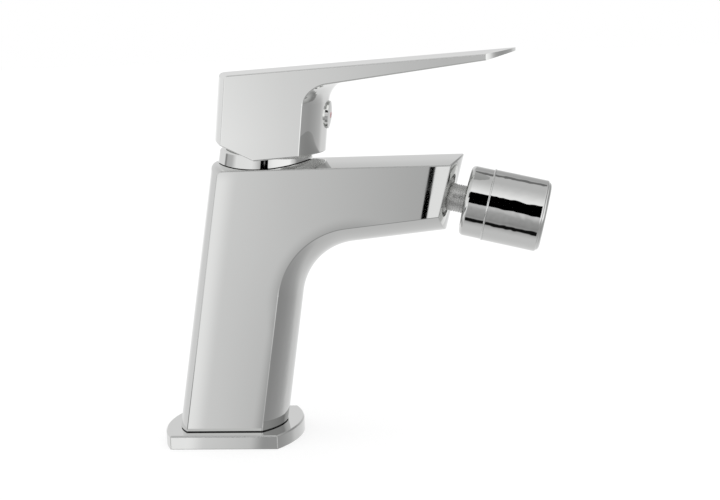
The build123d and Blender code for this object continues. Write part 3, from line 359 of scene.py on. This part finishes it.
def add_floor():
    """Pale floor that shows as white, keeps a soft shadow and isn't part of the object."""
    material, _, shader = new_material("floor")
    shader.inputs["Base Color"].default_value = FLOOR_COLOUR
    shader.inputs["Roughness"].default_value = 1.0
    shader.inputs["Specular IOR Level"].default_value = 0.0
    shader.inputs["Emission Color"].default_value = WHITE
    shader.inputs["Emission Strength"].default_value = FLOOR_GLOW
    size = FLOOR_SIZE
    corners = [(-size, -size, 0), (size, -size, 0), (size, size, 0), (-size, size, 0)]
    mesh = bpy.data.meshes.new("floor")
    mesh.from_pydata(corners, [], [(0, 1, 2, 3)])
    mesh.materials.append(material)
    floor = bpy.data.objects.new("floor", mesh)
    bpy.context.scene.collection.objects.link(floor)
    floor.visible_glossy = False


def maths(tree, operation, *values):
    """One maths node; each value is a number or an output socket."""
    node = tree.nodes.new("ShaderNodeMath")
    node.operation = operation
    for slot, value in enumerate(values):
        if isinstance(value, bpy.types.NodeSocket):
            tree.links.new(value, node.inputs[slot])
        else:
            node.inputs[slot].default_value = value
    return node.outputs[0]


def fade(tree, value, start, end):
    """0 at start and 1 at end, with a soft passage between."""
    node = tree.nodes.new("ShaderNodeMapRange")
    node.interpolation_type = "SMOOTHSTEP"
    node.inputs["From Min"].default_value = start
    node.inputs["From Max"].default_value = end
    tree.links.new(value, node.inputs["Value"])
    return node.outputs["Result"]


def blend_values(tree, share, first, second):
    """Number between first and second, at the share."""
    node = tree.nodes.new("ShaderNodeMix")
    for slot, value in zip(("Factor", "A", "B"), (share, first, second)):
        if isinstance(value, bpy.types.NodeSocket):
            tree.links.new(value, node.inputs[slot])
        else:
            node.inputs[slot].default_value = value
    return node.outputs["Result"]


def studio_row(tree, turn, stops):
    """Brightness by azimuth, as a colour ramp over the whole turn."""
    node = tree.nodes.new("ShaderNodeValToRGB")
    ramp = node.color_ramp
    while len(ramp.elements) > 1:
        ramp.elements.remove(ramp.elements[-1])
    for i, (azimuth, tone) in enumerate(stops):
        place = (azimuth + 180) / 360
        stop = ramp.elements[0] if i == 0 else ramp.elements.new(place)
        stop.position = place
        stop.color = (tone, tone, tone, 1)
    tree.links.new(turn, node.inputs["Fac"])
    return node.outputs["Color"]


def studio_brightness(tree):
    """Brightness of the studio in the direction of a mirrored ray."""
    direction = tree.nodes.new("ShaderNodeTexCoord").outputs["Generated"]
    split = tree.nodes.new("ShaderNodeSeparateXYZ")
    tree.links.new(direction, split.inputs["Vector"])
    x, y, z = split.outputs
    front = maths(tree, "MULTIPLY", y, -1.0)
    azimuth = maths(tree, "MULTIPLY", maths(tree, "ARCTAN2", x, front), 180 / pi)
    elevation = maths(tree, "MULTIPLY", maths(tree, "ARCSINE", z), 180 / pi)
    turn = maths(tree, "MULTIPLY_ADD", azimuth, 1 / 360, 0.5)
    brightness = None
    for i, (height, stops) in enumerate(STUDIO_ROWS):
        row = studio_row(tree, turn, stops)
        if brightness is None:
            brightness = row
        else:
            share = maths(tree, "SUBTRACT", elevation, STUDIO_ROWS[i - 1][0])
            span = height - STUDIO_ROWS[i - 1][0]
            share = maths(tree, "MINIMUM", maths(tree, "DIVIDE", share, span), 1.0)
            share = maths(tree, "MAXIMUM", share, 0.0)
            brightness = blend_values(tree, share, brightness, row)
    for left, right, low, high, slant, edge, tone in STUDIO_STRIPS:
        lean = maths(tree, "MULTIPLY", maths(tree, "SUBTRACT", elevation, STRIP_PIVOT), slant)
        across = maths(tree, "SUBTRACT", azimuth, lean)
        inside = maths(
            tree,
            "MULTIPLY",
            maths(tree, "MULTIPLY", fade(tree, across, left - edge, left + edge),
                  fade(tree, across, right + edge, right - edge)),
            maths(tree, "MULTIPLY", fade(tree, elevation, low - edge, low + edge),
                  fade(tree, elevation, high + edge, high - edge)),
        )
        brightness = blend_values(tree, inside, brightness, tone)
    spot_azimuth, spot_elevation, radius, edge, tone = STUDIO_SPOT
    aside = maths(tree, "ABSOLUTE", maths(tree, "SUBTRACT", azimuth, spot_azimuth))
    above = maths(tree, "ABSOLUTE", maths(tree, "SUBTRACT", elevation, spot_elevation))
    aside = maths(tree, "POWER", aside, 2.0)
    above = maths(tree, "POWER", above, 2.0)
    away = maths(tree, "SQRT", maths(tree, "ADD", aside, above))
    return blend_values(tree, fade(tree, away, radius + edge, radius - edge), brightness, tone)


def add_world():
    """Even light for what isn't plated, the studio for mirrored rays, white for the camera."""
    world = bpy.data.worlds.new("studio")
    world.use_nodes = True
    tree = world.node_tree
    path = tree.nodes.new("ShaderNodeLightPath")
    mirrored = blend_values(tree, path.outputs["Is Glossy Ray"], EVEN_LIGHT, studio_brightness(tree))
    seen = blend_values(tree, path.outputs["Is Camera Ray"], mirrored, 1.0)
    tree.links.new(seen, tree.nodes["Background"].inputs["Color"])
    bpy.context.scene.world = world


add_camera()
dress_nodes()
add_outlet_ring("aerator_lip", LIP_PROFILE)
add_outlet_ring("joint_ring", RING_PROFILE)
add_floor()
add_world()
bpy.context.scene.view_settings.view_transform = "Standard"
